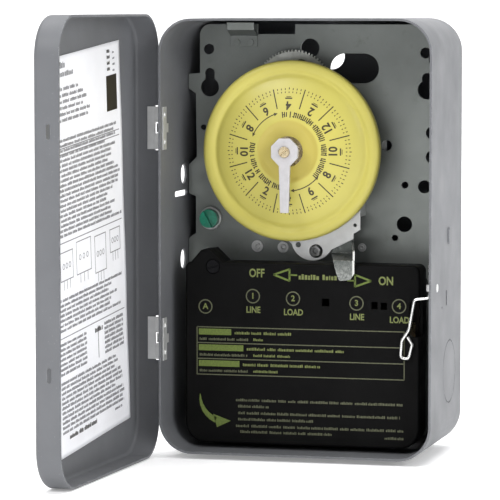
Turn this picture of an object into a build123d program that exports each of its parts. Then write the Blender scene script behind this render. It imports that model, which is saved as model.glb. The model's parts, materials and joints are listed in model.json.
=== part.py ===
from build123d import *
import math
import os

# Mechanical 24-hour time switch in a wall-mounted steel case, door swung open. Millimetres.
# X to the right, Y into the wall (the front faces -Y), Z up.
# Origin: centre of the flat back of the case, which lies in the plane y = 0.

# ---- driving dimensions -------------------------------------------------------------
DOOR_WIDTH = 127.0
DOOR_HEIGHT = 197.0
DOOR_DEPTH = 11.6
DOOR_CORNER = 17.5
CASE_DEPTH = 75.0
CASE_CORNER = 15.0
SHEET = 1.0                     # sheet steel of case and door
DOOR_GAP = 0.9                  # side gap between the case and the door that slips over it
PANEL_GAP = 0.3                 # gap between the case rim and the closed door's panel
DOOR_OPEN_ANGLE = 92.5          # how far the door stands open at rest
CASE_WIDTH = DOOR_WIDTH - 2 * (SHEET + DOOR_GAP)
CASE_HEIGHT = DOOR_HEIGHT - 2 * (SHEET + DOOR_GAP)
CASE_BACK_ROUND = 6.0
DOOR_EDGE_ROUND = 2.5

HALF_INNER = CASE_WIDTH / 2 - SHEET      # from the middle to a case side wall's inner face
DOOR_FACE_Y = -(CASE_DEPTH + PANEL_GAP + SHEET)
DOOR_RIM_Y = DOOR_FACE_Y + DOOR_DEPTH

PIN_RADIUS = 0.8
KNUCKLE_RADIUS = 1.6
PIN_CLEARANCE = 0.05
PIN_X = -(CASE_WIDTH / 2 + KNUCKLE_RADIUS + 0.6)
PIN_Y = DOOR_RIM_Y + 0.4
HINGE_HEIGHTS = {"upper": 47.9, "lower": -46.1}
HINGE_LENGTH = 19.0
LEAF = 0.5                      # hinge leaf thickness

PLATE_FRONT = -29.5
PLATE = 1.2                     # mechanism plate thickness
PLATE_BACK = PLATE_FRONT + PLATE
PLATE_HALF = 57.0
PLATE_TOP = 93.8

DIAL_X, DIAL_Z = -8.0, 37.4
DIAL_AT = (DIAL_X, DIAL_Z)
DIAL_RADIUS = 40.5
DIAL_RIM_Y = -48.0              # front of the dial's flat rim
DIAL_HUB_Y = DIAL_RIM_Y - 3.0   # underside of the dial's middle
POST_RADIUS = 2.5
SLEEVE_RADIUS = 3.6
RUNNING = 0.05                  # radial clearance of turning fits
POINTER_Y = DIAL_RIM_Y - 10.0   # underside of the pointer
POINTER_THICK = 1.6
BOSS_END_Y = POINTER_Y + 3.0

GEAR_MODULE = 0.5
DIAL_TEETH = 35
TRANSFER_TEETH = 72
MOTOR_TEETH = 12
TRANSFER_DIRECTION = 94.3       # degrees, from the dial's axis to the transfer gear's
MOTOR_DIRECTION = -35.0         # degrees, from the transfer gear's axis to the motor pinion's

COVER_HALF = 53.5
COVER_FRONT = -60.0
COVER_BACK = -46.0
COVER_TOP = -12.0
COVER_BOTTOM = -93.3
COVER_WALL = 1.5

LEVER_PIVOT_X, LEVER_PIVOT_Z = 12.0, 17.0
LEVER_Y = -37.6                 # back face of the manual lever's blade
LEVER_THICK = 1.2
BRACKET_Y = LEVER_Y - 2.0       # back face of the trip bracket, in front of the blade
BRACKET_THICK = 1.2

TERMINAL_XS = (-44.1, -22.2, -3.8, 25.1, 44.3)
BLOCK_FRONT = -46.0
BLOCK_TOP = -20.0
BLOCK_BOTTOM = -62.0

WIRE_RADIUS = 0.7
LATCH_X, LATCH_Y = 58.4, -61.6


# ---- helpers ------------------------------------------------------------------------
def front(y):
    """Sketch plane at depth y, seen from the front; extruding moves towards the viewer."""
    return Plane.XZ.offset(-y)


def side(x):
    """Sketch plane at x, facing +X; its local axes are Y and Z."""
    return Plane.YZ.offset(x)


def swung(plane):
    """A plane of the closed door, turned with the door about the hinge pins."""
    turn = Location((PIN_X, PIN_Y, 0), (0, 0, -DOOR_OPEN_ANGLE)) * Location((-PIN_X, -PIN_Y, 0))
    return Plane(turn * plane.location)


def save(shape, label):
    shape.label = label
    export_step(shape, f"parts/{label}.step")


def along(x, z, distance, degrees):
    angle = math.radians(degrees)
    return x + distance * math.cos(angle), z + distance * math.sin(angle)


def gear_points(teeth, phase, center):
    """Outline of a fine spur gear with straight-sided teeth; one tooth points at phase."""
    pitch_radius = teeth * GEAR_MODULE / 2
    rings = (
        (pitch_radius - 1.2 * GEAR_MODULE, -0.30),
        (pitch_radius + 0.8 * GEAR_MODULE, -0.11),
        (pitch_radius + 0.8 * GEAR_MODULE, 0.11),
        (pitch_radius - 1.2 * GEAR_MODULE, 0.30),
    )
    points = []
    for tooth in range(teeth):
        for radius, share in rings:
            angle = math.radians(phase + (tooth + share) * 360 / teeth)
            points.append(
                (center[0] + radius * math.cos(angle), center[1] + radius * math.sin(angle))
            )
    return points


def rod(plane, centers, radius, length):
    """Round rods of one size standing on a plane."""
    with BuildPart() as piece:
        with BuildSketch(plane):
            with Locations(*centers):
                Circle(radius)
        extrude(amount=length)
    return piece.part


os.makedirs("parts", exist_ok=True)

PIN_AXIS_AT = (PIN_X, PIN_Y)
KEYHOLE_TOP_Z = 79.0
BACK_HOLES = ((-38.1, -79.0), (38.1, -79.0))
STUDS = ((-42.0, 40.0), (42.0, 52.0), (-42.0, -30.0), (42.0, -12.0))
KNOCKOUT_Y, KNOCKOUT_Z, KNOCKOUT_RADIUS = -33.0, -61.0, 14.0
WALL_HOLE_Z = -21.3

# ---- case ---------------------------------------------------------------------------
with BuildPart() as case_shell:
    with BuildSketch(front(0)):
        RectangleRounded(CASE_WIDTH, CASE_HEIGHT, CASE_CORNER)
    extrude(amount=CASE_DEPTH)
    fillet(case_shell.faces().sort_by(Axis.Y)[-1].edges(), radius=CASE_BACK_ROUND)
    offset(amount=-SHEET, openings=case_shell.faces().sort_by(Axis.Y)[0])
    # mounting holes in the back: a keyhole at the top and two round holes below
    with BuildSketch(front(0)):
        with Locations((0, KEYHOLE_TOP_Z)):
            Circle(6.0)
        with Locations((0, KEYHOLE_TOP_Z + 6.5)):
            SlotOverall(9.0, 5.0, rotation=90)
        with Locations(*BACK_HOLES):
            Circle(3.25)
    extrude(amount=2 * SHEET, mode=Mode.SUBTRACT)
    # left wall: two round holes and a slot beside the plate's tabs, and a slot behind each hinge
    with BuildSketch(side(-CASE_WIDTH / 2)):
        with Locations((-37.0, 26.0), (-37.7, -12.6)):
            Circle(4.5)
        with Locations((-41.5, 17.4)):
            SlotOverall(20.0, 2.6)
        with Locations(*[(PIN_Y, z) for z in HINGE_HEIGHTS.values()]):
            Rectangle(1.4, 4.4)
    extrude(amount=2 * SHEET, mode=Mode.SUBTRACT)
    # right wall: the latch clip's hole, a vertical slot and a small pilot hole
    with BuildSketch(side(CASE_WIDTH / 2)):
        with Locations((LATCH_Y, WALL_HOLE_Z)):
            Circle(1.6)
        with Locations((-40.0, -27.4)):
            SlotOverall(7.0, 2.2, rotation=90)
        with Locations((-50.0, -31.0)):
            Circle(0.6)
    extrude(amount=-2 * SHEET, mode=Mode.SUBTRACT)
    # embossed boss on the right wall
    with BuildSketch(side(CASE_WIDTH / 2)):
        with Locations((-35.0, 0.0)):
            RectangleRounded(7.0, 8.0, 2.0)
    extrude(amount=0.8, taper=30)
    # sheared outlines of the conduit knockouts in both side walls
    for wall_x, inwards in ((CASE_WIDTH / 2, -0.5), (-CASE_WIDTH / 2, 0.5)):
        with BuildSketch(side(wall_x)):
            with Locations((KNOCKOUT_Y, KNOCKOUT_Z)):
                Circle(KNOCKOUT_RADIUS + 0.2)
                Circle(KNOCKOUT_RADIUS - 0.2, mode=Mode.SUBTRACT)
        extrude(amount=inwards, mode=Mode.SUBTRACT)
    # sheared outlines of the two knockouts in the bottom
    with BuildSketch(Plane.XY.offset(-CASE_HEIGHT / 2)):
        with Locations((-26.0, KNOCKOUT_Y), (26.0, KNOCKOUT_Y)):
            Circle(KNOCKOUT_RADIUS + 0.2)
            Circle(KNOCKOUT_RADIUS - 0.2, mode=Mode.SUBTRACT)
    extrude(amount=0.5, mode=Mode.SUBTRACT)
save(case_shell.part, "case_shell")

save(rod(front(-SHEET), STUDS, 3.0, -PLATE_BACK - SHEET), "support_studs")

# ---- door, built in its open position ------------------------------------------------
with BuildPart() as door_pan:
    with BuildSketch(swung(front(DOOR_RIM_Y))):
        RectangleRounded(DOOR_WIDTH, DOOR_HEIGHT, DOOR_CORNER)
    extrude(amount=DOOR_DEPTH)
    outward = Axis((0, 0, 0), swung(front(0)).z_dir)
    fillet(door_pan.faces().sort_by(outward)[-1].edges(), radius=DOOR_EDGE_ROUND)
    offset(amount=-SHEET, openings=door_pan.faces().sort_by(outward)[0])
    # notches that clear the hinge knuckles, and lanced slots in both side walls
    with BuildSketch(swung(side(-DOOR_WIDTH / 2))):
        with Locations(*[(DOOR_RIM_Y, z) for z in HINGE_HEIGHTS.values()]):
            Rectangle(3.2, HINGE_LENGTH + 1.0)
    extrude(amount=2 * SHEET, mode=Mode.SUBTRACT)
    with BuildSketch(swung(side(DOOR_WIDTH / 2))):
        with Locations((-69.5, 50.8), (-69.5, -49.4)):
            SlotOverall(6.4, 1.8, rotation=90)
    extrude(amount=-2 * SHEET, mode=Mode.SUBTRACT)
    with BuildSketch(swung(side(DOOR_WIDTH / 2 - SHEET))):
        with Locations((-69.2, 45.0), (-69.2, -55.3)):
            Circle(1.0)
    extrude(amount=-0.35, taper=35)
save(door_pan.part, "door_pan")

# instruction sheet glued inside the door, standing a little out of square
LABEL_WIDTH, LABEL_HEIGHT, LABEL_THICK = 88.0, 169.0, 0.2
LABEL_TILT = -4.6               # degrees
with BuildPart() as door_label:
    with BuildSketch(swung(front(-(CASE_DEPTH + PANEL_GAP)))):
        with Locations((-2.4, -0.5)):
            Rectangle(LABEL_WIDTH, LABEL_HEIGHT, rotation=LABEL_TILT)
    extrude(amount=-LABEL_THICK)
save(door_label.part, "door_label")

# ---- hinges --------------------------------------------------------------------------
for name, hinge_z in HINGE_HEIGHTS.items():
    wall_inner = -HALF_INNER

    # leaf riveted inside the case wall, with one arm through the wall to its knuckle
    with BuildPart() as case_leaf:
        with BuildSketch(side(wall_inner)):
            with Locations((-69.4, hinge_z)):
                Rectangle(5.4, HINGE_LENGTH)
            with Locations((PIN_Y - 1.2, hinge_z)):
                Rectangle(3.6, 4.0)
        extrude(amount=LEAF)
        with BuildSketch(Plane.XY.offset(hinge_z - 2.0)):
            with Locations(((PIN_X + wall_inner + LEAF) / 2, PIN_Y)):
                Rectangle(wall_inner + LEAF - PIN_X, 1.0)
            with Locations(PIN_AXIS_AT):
                Circle(KNUCKLE_RADIUS)
                Circle(PIN_RADIUS + PIN_CLEARANCE, mode=Mode.SUBTRACT)
        extrude(amount=4.0)
    save(case_leaf.part, f"hinge_case_leaf_{name}")

    # leaf riveted inside the door wall, its two knuckles rolled round the pin
    with BuildPart() as door_leaf:
        with BuildSketch(swung(side(-DOOR_WIDTH / 2 + SHEET))):
            with Locations((DOOR_RIM_Y - 3.2, hinge_z)):
                Rectangle(3.6, HINGE_LENGTH)
        extrude(amount=LEAF)
        for foot in (hinge_z - HINGE_LENGTH / 2, hinge_z + 2.4):
            with BuildSketch(swung(Plane.XY.offset(foot))):
                with Locations(PIN_AXIS_AT):
                    Circle(KNUCKLE_RADIUS)
                with BuildLine():
                    Polyline(
                        (PIN_X + KNUCKLE_RADIUS - LEAF, PIN_Y),
                        (PIN_X + KNUCKLE_RADIUS, PIN_Y),
                        (-DOOR_WIDTH / 2 + SHEET + LEAF, DOOR_RIM_Y - 2.0),
                        (-DOOR_WIDTH / 2 + SHEET, DOOR_RIM_Y - 1.4),
                        close=True,
                    )
                make_face()
                with Locations(PIN_AXIS_AT):
                    Circle(PIN_RADIUS, mode=Mode.SUBTRACT)
            extrude(amount=HINGE_LENGTH / 2 - 2.4)
    save(door_leaf.part, f"hinge_door_leaf_{name}")

    pin_foot = hinge_z - HINGE_LENGTH / 2 - 0.2
    pin = rod(Plane.XY.offset(pin_foot), [PIN_AXIS_AT], PIN_RADIUS, HINGE_LENGTH + 0.4)
    save(pin, f"hinge_pin_{name}")

rivet_rows = [(-69.4, z + step) for z in HINGE_HEIGHTS.values() for step in (-6.0, 6.0)]
with BuildPart() as case_hinge_rivets:
    with BuildSketch(side(-HALF_INNER + LEAF)):
        with Locations(*rivet_rows):
            Circle(1.3)
    extrude(amount=0.5, taper=30)
save(case_hinge_rivets.part, "case_hinge_rivets")

with BuildPart() as door_hinge_rivets:
    with BuildSketch(swung(side(-DOOR_WIDTH / 2))):
        with Locations(*[(-68.4, z) for _, z in rivet_rows]):
            Circle(1.3)
    extrude(amount=-0.5, taper=30)
save(door_hinge_rivets.part, "door_hinge_rivets")

# ---- mechanism plate -----------------------------------------------------------------
TRANSFER_X, TRANSFER_Z = along(
    DIAL_X, DIAL_Z, GEAR_MODULE * (DIAL_TEETH + TRANSFER_TEETH) / 2, TRANSFER_DIRECTION
)
MOTOR_SHAFT_X, MOTOR_SHAFT_Z = along(
    TRANSFER_X, TRANSFER_Z, GEAR_MODULE * (TRANSFER_TEETH + MOTOR_TEETH) / 2, MOTOR_DIRECTION
)
MOTOR_X, MOTOR_Z = 7.2, 40.5
MOTOR_EAR_DIRECTION = 98.0      # degrees, from the motor's axis to its upper screw
MOTOR_SCREWS = (
    along(MOTOR_X, MOTOR_Z, 29.0, MOTOR_EAR_DIRECTION),
    along(MOTOR_X, MOTOR_Z, 29.0, MOTOR_EAR_DIRECTION + 180),
)
GROUND_SCREW_AT = (-49.6, 5.6)
HEX_STUD_AT = (0.4, -8.1)
BRACKET_SCREW_AT = (-12.0, 5.5)
LEAD_HOLES = ((MOTOR_X - 3.0, -24.0), (MOTOR_X + 3.0, -24.0))
LEAD_RADIUS = 1.1
tab = HALF_INNER - 0.25

with BuildPart() as mechanism_plate:
    with BuildSketch(front(PLATE_BACK)):
        with BuildLine():
            Polyline(
                (-55.0, PLATE_TOP), (-55.0, 71.6), (-tab, 71.2), (-tab, 64.5), (-PLATE_HALF, 62.3),
                (-PLATE_HALF + 0.5, 33.5), (-tab, 29.8), (-tab, 16.8), (-PLATE_HALF, 15.4),
                (-PLATE_HALF, -1.4), (-tab, -3.8), (-tab, -72.0), (-50.0, -91.0),
                (50.0, -91.0), (tab, -72.0), (tab, -3.8), (PLATE_HALF, -1.4),
                (PLATE_HALF, 70.5), (51.2, 77.0), (51.2, 90.0), (47.5, PLATE_TOP),
                (-10.5, PLATE_TOP), (-10.5, 89.4), (-27.7, 89.4), (-27.7, PLATE_TOP),
                close=True,
            )
        make_face()
        fillet(vertices().group_by(Axis.Y)[-1].sort_by(Axis.X)[0], radius=5.0)
        for x, z, radius in (
            (-50.7, 82.5, 2.4), (49.6, 81.1, 2.4),
            (-50.3, 71.6, 2.3), (-50.3, 65.2, 4.2), (50.3, 69.8, 2.3), (50.3, 64.6, 4.2),
            (-3.5, 83.1, 4.3), (52.8, 45.4, 2.9), (52.8, 34.6, 2.9), (31.9, 39.6, 2.4),
            (40.4, 21.9, 1.5), (49.3, 21.2, 2.9), (40.2, 4.2, 3.5), (35.9, -2.0, 1.4),
            (-53.3, 47.0, 1.2),
        ):
            with Locations((x, z)):
                Circle(radius, mode=Mode.SUBTRACT)
        for x, z, height in ((-50.3, 68.6, 5.0), (50.3, 67.4, 4.0)):
            with Locations((x, z)):
                Rectangle(4.2, height, mode=Mode.SUBTRACT)
        with Locations((17.0, 74.0)):
            SlotOverall(22.4, 13.4, mode=Mode.SUBTRACT)
        for x, z, radius in (
            (DIAL_X, DIAL_Z, POST_RADIUS), (TRANSFER_X, TRANSFER_Z, 1.5),
            (MOTOR_SHAFT_X, MOTOR_SHAFT_Z, 2.2), (*GROUND_SCREW_AT, 1.9), (*HEX_STUD_AT, 1.5),
            (*MOTOR_SCREWS[0], 1.6), (*MOTOR_SCREWS[1], 1.6), (*LEAD_HOLES[0], LEAD_RADIUS + 0.5),
            (*LEAD_HOLES[1], LEAD_RADIUS + 0.5), (*BRACKET_SCREW_AT, 1.6),
        ):
            with Locations((x, z)):
                Circle(radius, mode=Mode.SUBTRACT)
    extrude(amount=PLATE)
save(mechanism_plate.part, "mechanism_plate")

# plate furniture: formed rivets, ground screw and its cup washer
with BuildPart() as plate_rivets:
    for x, z, radius in ((-27.9, -6.8, 2.7), (-15.8, -7.1, 2.6), (20.8, -6.6, 1.9)):
        with BuildSketch(front(PLATE_FRONT)):
            with Locations((x, z)):
                Circle(radius)
        extrude(amount=0.6)
        with BuildSketch(front(PLATE_FRONT - 0.6)):
            with Locations((x, z)):
                Circle(radius * 0.55)
                Circle(radius * 0.28, mode=Mode.SUBTRACT)
        extrude(amount=0.5)
save(plate_rivets.part, "plate_rivets")

with BuildPart() as ground_washer:
    with BuildSketch(front(PLATE_FRONT)):
        with Locations(GROUND_SCREW_AT):
            Circle(5.4)
            Circle(1.95, mode=Mode.SUBTRACT)
    extrude(amount=2.2, taper=8)
    with BuildSketch(front(PLATE_FRONT - 0.8)):
        with Locations(GROUND_SCREW_AT):
            Circle(4.3)
    extrude(amount=2.2, mode=Mode.SUBTRACT)
save(ground_washer.part, "ground_washer")

with BuildPart() as ground_screw:
    with BuildSketch(front(PLATE_BACK + 3.0)):
        with Locations(GROUND_SCREW_AT):
            Circle(1.9)
    extrude(amount=PLATE + 3.0 + 2.0)
    with BuildSketch(front(PLATE_FRONT - 2.0)):
        with Locations(GROUND_SCREW_AT):
            Circle(4.2)
    extrude(amount=3.6)
    with BuildSketch(front(PLATE_FRONT - 5.6)):
        with Locations(GROUND_SCREW_AT):
            Rectangle(8.4, 1.1, rotation=-62)
    extrude(amount=-1.4, mode=Mode.SUBTRACT)
save(ground_screw.part, "ground_screw")

# spring catch that holds the mechanism under the top of the case
CATCH_X, CATCH_WIDTH = -34.1, 12.7
CATCH_FRONT = PLATE_FRONT - 7.0
with BuildPart() as top_catch:
    with BuildSketch(side(CATCH_X - CATCH_WIDTH / 2)):
        with BuildLine():
            Polyline(
                (PLATE_FRONT, 83.6), (PLATE_FRONT - 0.7, 83.6), (PLATE_FRONT - 0.7, 88.6),
                (CATCH_FRONT, 91.2), (CATCH_FRONT - 0.7, 94.6), (CATCH_FRONT, 94.8),
                (CATCH_FRONT + 0.6, 91.9), (PLATE_FRONT, 89.3),
                close=True,
            )
        make_face()
    extrude(amount=CATCH_WIDTH)
save(top_catch.part, "top_catch")
catch_screws = rod(front(PLATE_FRONT - 0.7), [(CATCH_X - 3.2, 85.6), (CATCH_X + 3.2, 85.6)], 1.5, 0.7)
save(catch_screws, "catch_rivets")

# ---- motor behind the plate ------------------------------------------------------------
MOTOR_BASE = 1.0
MOTOR_RADIUS = 24.5
MOTOR_DEPTH = 18.0
MOTOR_FRONT = PLATE_BACK + MOTOR_BASE
with BuildPart() as motor_base:
    with BuildSketch(front(MOTOR_FRONT)):
        with Locations((MOTOR_X, MOTOR_Z)):
            Circle(MOTOR_RADIUS)
            SlotOverall(66.0, 9.0, rotation=MOTOR_EAR_DIRECTION)
        for x, z, radius in (
            (MOTOR_SHAFT_X, MOTOR_SHAFT_Z, 2.2), (DIAL_X, DIAL_Z, POST_RADIUS + 1.2),
            (*MOTOR_SCREWS[0], 1.6), (*MOTOR_SCREWS[1], 1.6),
        ):
            with Locations((x, z)):
                Circle(radius, mode=Mode.SUBTRACT)
    extrude(amount=MOTOR_BASE)
save(motor_base.part, "motor_base")

with BuildPart() as motor_can:
    with BuildSketch(front(MOTOR_FRONT + MOTOR_DEPTH)):
        with Locations((MOTOR_X, MOTOR_Z)):
            Circle(MOTOR_RADIUS - 0.5)
    extrude(amount=MOTOR_DEPTH)
    fillet(motor_can.faces().sort_by(Axis.Y)[-1].edges(), radius=2.0)
    offset(amount=-0.8, openings=motor_can.faces().sort_by(Axis.Y)[0])
save(motor_can.part, "motor_can")

with BuildPart() as motor_coil:
    with BuildSketch(front(MOTOR_FRONT + MOTOR_DEPTH - 0.8)):
        with Locations((MOTOR_X, MOTOR_Z)):
            Circle(MOTOR_RADIUS - 3.0)
            Circle(10.0, mode=Mode.SUBTRACT)
    extrude(amount=8.0)
save(motor_coil.part, "motor_coil")

with BuildPart() as motor_rotor:
    with BuildSketch(front(MOTOR_FRONT + MOTOR_DEPTH - 1.1)):
        with Locations((MOTOR_X, MOTOR_Z)):
            Circle(9.4)
    extrude(amount=7.4)
    with BuildSketch(front(MOTOR_FRONT + MOTOR_DEPTH - 8.5)):
        with Locations((MOTOR_X, MOTOR_Z)):
            Circle(1.0)
    extrude(amount=6.0)
save(motor_rotor.part, "motor_rotor")

with BuildPart() as motor_gearcase:
    with BuildSketch(front(MOTOR_FRONT + 5.0)):
        with Locations((MOTOR_X, MOTOR_Z + 4.0)):
            RectangleRounded(24.0, 26.0, 4.0)
    extrude(amount=5.0)
    with BuildSketch(front(MOTOR_FRONT + 5.0)):
        with Locations((MOTOR_SHAFT_X, MOTOR_SHAFT_Z)):
            Circle(1.5 + RUNNING)
        with Locations((MOTOR_X, MOTOR_Z)):
            Circle(1.0 + RUNNING)
    extrude(amount=5.0, mode=Mode.SUBTRACT)
    with BuildSketch(front(PLATE_BACK)):
        with Locations((DIAL_X, DIAL_Z)):
            Circle(POST_RADIUS + 1.2)
    extrude(amount=-7.0, mode=Mode.SUBTRACT)
save(motor_gearcase.part, "motor_gearcase")

with BuildPart() as motor_screws:
    with BuildSketch(front(PLATE_BACK + MOTOR_BASE + 1.6)):
        with Locations(*MOTOR_SCREWS):
            Circle(1.6)
    extrude(amount=PLATE + MOTOR_BASE + 1.6)
    with BuildSketch(front(PLATE_BACK + MOTOR_BASE + 1.6)):
        with Locations(*MOTOR_SCREWS):
            RegularPolygon(3.0, 6)
    extrude(amount=1.6)
    with BuildSketch(front(PLATE_FRONT)):
        with Locations(*MOTOR_SCREWS):
            Circle(2.6)
    extrude(amount=1.2, taper=20)
save(motor_screws.part, "motor_screws")

# two motor leads, each a straight drop and one bend forward through the plate
lead_y = MOTOR_FRONT + 9.0
lead_top = MOTOR_Z - MOTOR_RADIUS + 0.5
with BuildPart() as motor_leads:
    for x, z in LEAD_HOLES:
        start = (x, lead_y, lead_top)
        with BuildLine():
            FilletPolyline(start, (x, lead_y, z), (x, PLATE_FRONT - 1.4, z), radius=4.5)
        with BuildSketch(Plane(start, x_dir=(1, 0, 0), z_dir=(0, 0, -1))):
            Circle(LEAD_RADIUS)
        sweep()
save(motor_leads.part, "motor_leads")

# ---- centre post, gears and dial --------------------------------------------------------
DIAL_AXIS = Axis((DIAL_X, 0, DIAL_Z), (0, 1, 0))
with BuildPart() as centre_post:
    with BuildSketch(front(PLATE_BACK)):
        with Locations((DIAL_X, DIAL_Z)):
            Circle(POST_RADIUS)
    extrude(amount=PLATE_BACK - BOSS_END_Y)
    with Locations(front(BOSS_END_Y) * Location((DIAL_X, DIAL_Z))):
        Hole(1.5, depth=10.0)
save(centre_post.part, "centre_post")

PINION_BACK = PLATE_FRONT - 0.8
PINION_FRONT = PINION_BACK - 6.2
with BuildPart() as dial_sleeve:
    with BuildSketch(front(PINION_BACK)):
        with Locations((DIAL_X, DIAL_Z)):
            Circle(SLEEVE_RADIUS)
            Circle(POST_RADIUS + RUNNING, mode=Mode.SUBTRACT)
    extrude(amount=PINION_BACK - DIAL_HUB_Y)
save(dial_sleeve.part, "dial_sleeve")

with BuildPart() as dial_pinion:
    with BuildSketch(front(PINION_BACK)):
        with BuildLine():
            Polyline(*gear_points(DIAL_TEETH, TRANSFER_DIRECTION, DIAL_AT), close=True)
        make_face()
    extrude(amount=PINION_BACK - PINION_FRONT)
    with BuildSketch(front(PINION_FRONT)):
        with Locations((DIAL_X, DIAL_Z)):
            Circle(6.2)
    extrude(amount=PINION_FRONT - DIAL_HUB_Y)
    with BuildSketch(front(DIAL_HUB_Y + 1.5)):
        with Locations((DIAL_X, DIAL_Z)):
            Circle(11.0)
    extrude(amount=1.5)
    with Locations(front(DIAL_HUB_Y) * Location((DIAL_X, DIAL_Z))):
        Hole(SLEEVE_RADIUS + RUNNING)
save(dial_pinion.part, "dial_pinion")

DIAL_PROFILE = (
    (DIAL_RADIUS, 4.2), (DIAL_RADIUS, 0.6), (DIAL_RADIUS - 0.5, 0.0), (35.9, 0.0),
    (35.3, 0.7), (34.3, 0.7), (33.6, -0.2), (27.0, -2.4), (14.2, -5.2), (13.2, -5.2),
    (11.0, -4.6), (6.8, -4.6), (6.8, -3.0), (14.0, -3.0), (27.0, -0.6), (33.0, 1.6),
    (36.4, 2.4), (38.9, 2.4), (38.9, 4.2),
)
with BuildPart() as dial:
    with BuildSketch(Plane.XY.offset(DIAL_Z)):
        with BuildLine():
            Polyline(*[(DIAL_X + r, DIAL_RIM_Y + y) for r, y in DIAL_PROFILE], close=True)
        make_face()
    revolve(axis=DIAL_AXIS)
save(dial.part, "dial")

SPRING_WIRE = 0.4
spring_length = DIAL_HUB_Y - BOSS_END_Y - SPRING_WIRE - 0.1
with BuildPart() as dial_spring:
    with BuildLine():
        coil = Helix(
            pitch=spring_length / 3, height=spring_length, radius=4.6,
            center=(DIAL_X, DIAL_HUB_Y - SPRING_WIRE / 2 - 0.05, DIAL_Z), direction=(0, -1, 0),
        )
    with BuildSketch(Plane(origin=coil @ 0, z_dir=coil % 0)):
        Circle(SPRING_WIRE / 2)
    sweep(is_frenet=True)
save(dial_spring.part, "dial_spring")

POINTER_LENGTH = 27.0
with BuildPart() as pointer:
    with BuildSketch(front(POINTER_Y)):
        with Locations((DIAL_X, DIAL_Z)):
            RegularPolygon(6.6, 8, rotation=22.5)
        with BuildLine():
            Polyline(
                (DIAL_X - 2.6, DIAL_Z - 4.0), (DIAL_X + 2.6, DIAL_Z - 4.0),
                (DIAL_X + 1.9, DIAL_Z - POINTER_LENGTH), (DIAL_X - 1.9, DIAL_Z - POINTER_LENGTH),
                close=True,
            )
        make_face()
    extrude(amount=POINTER_THICK)
    with BuildSketch(front(POINTER_Y)):
        with Locations((DIAL_X, DIAL_Z)):
            Circle(5.6)
    extrude(amount=POINTER_Y - BOSS_END_Y)
    with Locations(front(POINTER_Y - POINTER_THICK) * Location((DIAL_X, DIAL_Z))):
        Hole(1.5)
save(pointer.part, "pointer")

with BuildPart() as pointer_screw:
    with BuildSketch(front(BOSS_END_Y + 8.0)):
        with Locations((DIAL_X, DIAL_Z)):
            Circle(1.5)
    extrude(amount=BOSS_END_Y + 8.0 - POINTER_Y + POINTER_THICK)
    with BuildSketch(front(POINTER_Y - POINTER_THICK)):
        with Locations((DIAL_X, DIAL_Z)):
            Circle(2.6)
    extrude(amount=1.6, taper=12)
    with BuildSketch(front(POINTER_Y - POINTER_THICK - 1.6)):
        with Locations((DIAL_X, DIAL_Z)):
            Rectangle(6.0, 0.7, rotation=35)
    extrude(amount=-0.7, mode=Mode.SUBTRACT)
save(pointer_screw.part, "pointer_screw")

TRANSFER_BACK = PLATE_FRONT - 4.0
TRANSFER_AT = (TRANSFER_X, TRANSFER_Z)
tooth_pitch = 360 / TRANSFER_TEETH
transfer_phase = TRANSFER_DIRECTION + 180 + tooth_pitch / 2
with BuildPart() as transfer_gear:
    with BuildSketch(front(TRANSFER_BACK)):
        with BuildLine():
            Polyline(*gear_points(TRANSFER_TEETH, transfer_phase, TRANSFER_AT), close=True)
        make_face()
        with Locations(TRANSFER_AT):
            with PolarLocations(11.5, 5):
                Circle(3.2, mode=Mode.SUBTRACT)
    extrude(amount=1.5)
    with BuildSketch(front(PLATE_FRONT - 0.4)):
        with Locations(TRANSFER_AT):
            Circle(3.4)
    extrude(amount=6.6)
    with Locations(front(PLATE_FRONT - 7.0) * Location(TRANSFER_AT)):
        Hole(1.5 + RUNNING)
save(transfer_gear.part, "transfer_gear")

with BuildPart() as transfer_stud:
    with BuildSketch(front(PLATE_BACK)):
        with Locations(TRANSFER_AT):
            Circle(1.5)
    extrude(amount=PLATE + 7.2)
    with BuildSketch(front(PLATE_FRONT - 7.2)):
        with Locations(TRANSFER_AT):
            Circle(2.6)
    extrude(amount=0.9)
save(transfer_stud.part, "transfer_stud")

# phase of the motor pinion: one of its gaps receives the transfer tooth nearest the centre line
tooth_lead = (transfer_phase - MOTOR_DIRECTION) % tooth_pitch
motor_phase = (
    MOTOR_DIRECTION + 180 - tooth_lead * TRANSFER_TEETH / MOTOR_TEETH + 180 / MOTOR_TEETH
)
MOTOR_SHAFT_AT = (MOTOR_SHAFT_X, MOTOR_SHAFT_Z)
with BuildPart() as motor_pinion:
    with BuildSketch(front(TRANSFER_BACK + 0.5)):
        with BuildLine():
            Polyline(*gear_points(MOTOR_TEETH, motor_phase, MOTOR_SHAFT_AT), close=True)
        make_face()
    extrude(amount=2.5)
    with BuildSketch(front(MOTOR_FRONT + 4.0)):
        with Locations(MOTOR_SHAFT_AT):
            Circle(1.5)
    extrude(amount=MOTOR_FRONT + 4.0 - TRANSFER_BACK)
save(motor_pinion.part, "motor_pinion")

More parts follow.
